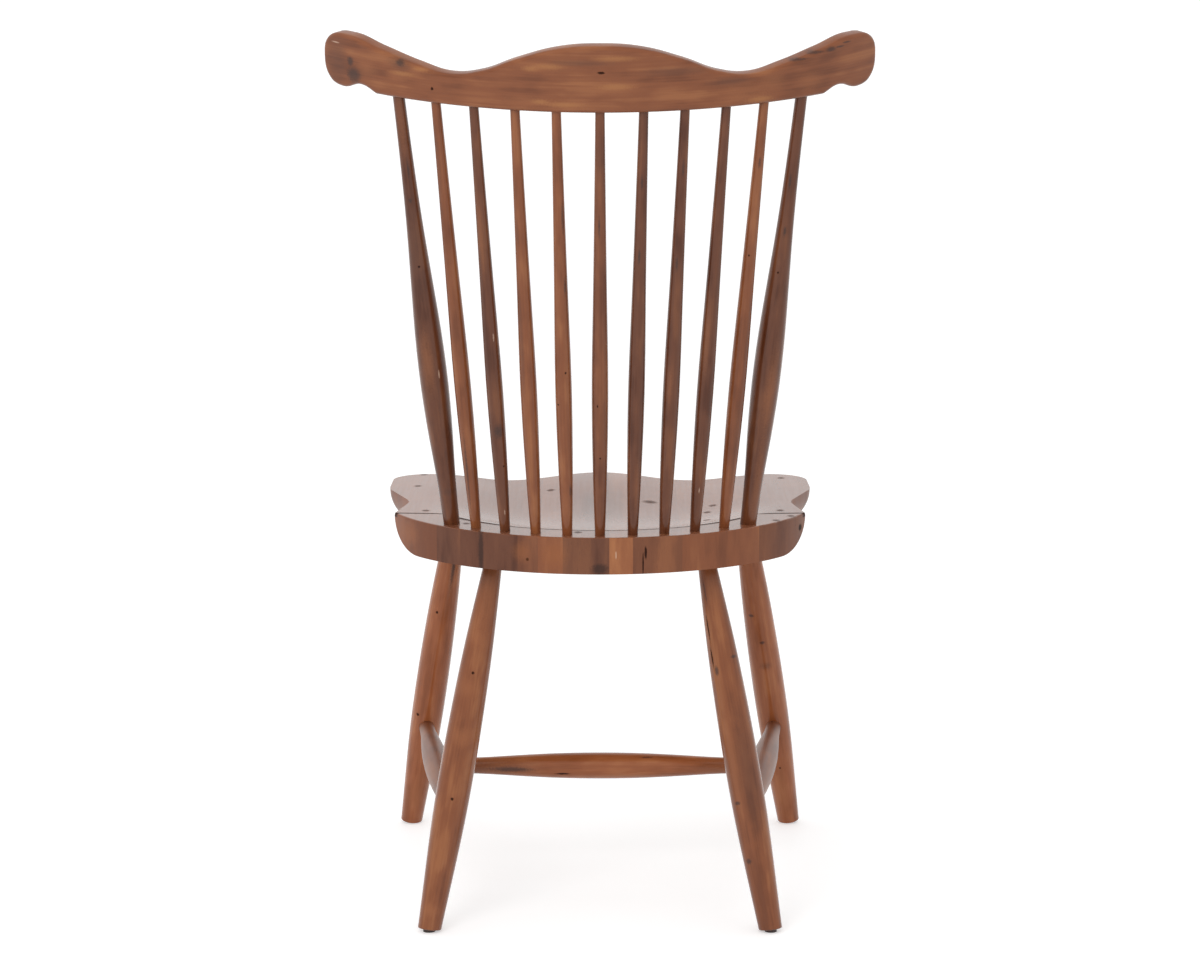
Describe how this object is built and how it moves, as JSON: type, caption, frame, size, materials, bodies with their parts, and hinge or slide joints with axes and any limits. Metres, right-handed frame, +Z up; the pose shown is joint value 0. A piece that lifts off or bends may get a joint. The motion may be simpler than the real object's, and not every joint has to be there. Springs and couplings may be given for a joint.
{
  "type": "wooden dining chair",
  "caption": "Fan-back wooden dining chair with a carved solid seat, turned splayed legs and stretchers, slender spindles between heavier posts and a bent crest rail with rounded ears.",
  "frame": {"origin": "on the floor, under the middle of the chair's bounding box", "axes": "+Z up; -Y is the way the sitter faces, so the back is on the +Y side; +X is the sitter's left"},
  "size_m": [0.6078, 0.6216, 1.0241],
  "materials": {
    "seat_wood_light": "satin, stained and worn",
    "seat_wood_mid": "satin, stained and worn",
    "seat_wood_brown": "satin, stained and worn",
    "seat_wood_dark": "satin, stained and worn",
    "turned_wood": "satin, stained and worn",
    "crest_wood": "satin, stained and worn",
    "glide_plastic": "matt",
    "nail_steel": "plain"
  },
  "bodies": {
    "root": {"seat_stave_1": "seat_wood_mid", "seat_stave_2": "seat_wood_dark", "seat_stave_3": "seat_wood_dark", "seat_stave_4": "seat_wood_dark", "seat_stave_5": "seat_wood_mid", "seat_stave_6": "seat_wood_mid", "seat_stave_7": "seat_wood_dark", "seat_stave_8": "seat_wood_light", "seat_stave_9": "seat_wood_brown", "seat_stave_10": "seat_wood_mid", "seat_stave_11": "seat_wood_brown", "leg_front_left": "turned_wood", "leg_front_right": "turned_wood", "leg_rear_left": "turned_wood", "leg_rear_right": "turned_wood", "side_stretcher_left": "turned_wood", "side_stretcher_right": "turned_wood", "medial_stretcher": "turned_wood", "post_left": "turned_wood", "post_right": "turned_wood", "spindle_1": "turned_wood", "spindle_2": "turned_wood", "spindle_3": "turned_wood", "spindle_4": "turned_wood", "spindle_5": "turned_wood", "spindle_6": "turned_wood", "spindle_7": "turned_wood", "spindle_8": "turned_wood", "spindle_9": "turned_wood", "crest_rail": "crest_wood", "glide_front_left": "glide_plastic", "glide_front_right": "glide_plastic", "glide_rear_left": "glide_plastic", "glide_rear_right": "glide_plastic", "glide_nails": "nail_steel"}
  },
  "joints": []
}
